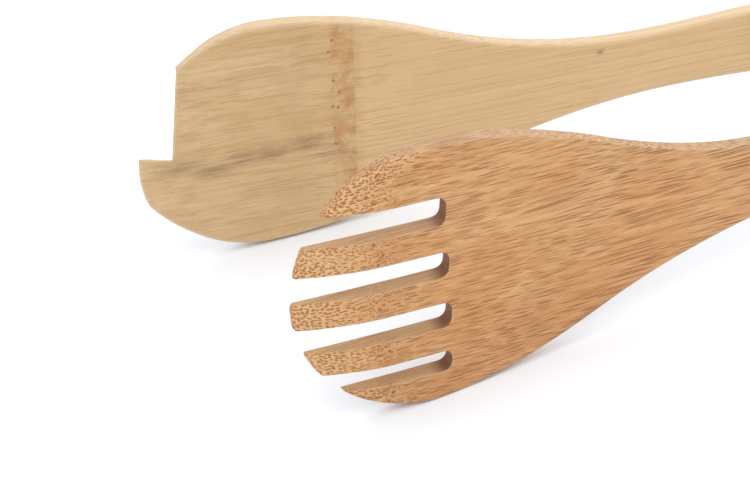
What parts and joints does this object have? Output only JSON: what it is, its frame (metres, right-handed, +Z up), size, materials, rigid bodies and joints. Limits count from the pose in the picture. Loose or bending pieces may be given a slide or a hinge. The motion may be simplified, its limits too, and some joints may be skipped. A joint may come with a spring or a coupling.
{
  "type": "spring loaded kitchen tongs",
  "caption": "Bamboo kitchen tongs with a slotted fork head and a notched spatula head, a sprung steel hinge that pushes the arms open, and a sliding lock with a hanging eye.",
  "frame": {"origin": "middle of the bounding box, on the floor that the tongs lie on with their lower edges", "axes": "+X along the tongs from the heads to the hanging eye, +Y from the fork to the spatula, +Z up"},
  "size_m": [0.3174, 0.0944, 0.0621],
  "materials": {
    "fork_bamboo": "smooth oiled bamboo, caramel",
    "spatula_bamboo": "smooth oiled bamboo, pale",
    "steel": "brushed stainless steel sheet",
    "bright_steel": "bright stainless steel wire and rod",
    "nylon": "natural nylon"
  },
  "bodies": {
    "fork_side": {"fork_arm": "fork_bamboo", "fork_bracket": "steel", "fork_rivet_rear": "bright_steel", "fork_rivet_front": "bright_steel", "fork_rivet_washer_rear": "bright_steel", "fork_rivet_washer_front": "bright_steel", "hinge_pin": "bright_steel", "pin_washer": "steel", "upper_ear_washer": "nylon", "lower_ear_washer": "nylon", "torsion_spring": "bright_steel"},
    "spatula_side": {"spatula_arm": "spatula_bamboo", "spatula_bracket": "steel", "spatula_rivet_rear": "bright_steel", "spatula_rivet_front": "bright_steel", "spatula_rivet_washer_rear": "bright_steel", "spatula_rivet_washer_front": "bright_steel"},
    "lock_guide": {"spacer_sleeve": "nylon", "slider_washer": "nylon"},
    "lock": {"lock_slider": "steel"}
  },
  "joints": [
    {"name": "arm_hinge", "type": "hinge", "parent": "fork_side", "child": "spatula_side", "pos_m": [0.12529, -0.00609, 0.01482], "axis": [0.0639, 0, 0.998], "range_deg": [0, 17.3], "stiffness_Nm_per_rad": 0.25, "springref_deg": -28.65, "deforming": ["torsion_spring"]},
    {"name": "guide_turn", "type": "hinge", "parent": "fork_side", "child": "lock_guide", "pos_m": [0.12529, -0.00609, 0.01482], "axis": [0.0639, 0, 0.998], "range_deg": [0, 8.8]},
    {"name": "lock_slide", "type": "slide", "parent": "lock_guide", "child": "lock", "axis": [0.998, 0, -0.0639], "range_m": [0, 0.007]}
  ],
  "couplings": [
    {"joint": "guide_turn", "follows": "arm_hinge", "ratio": 0.5}
  ]
}
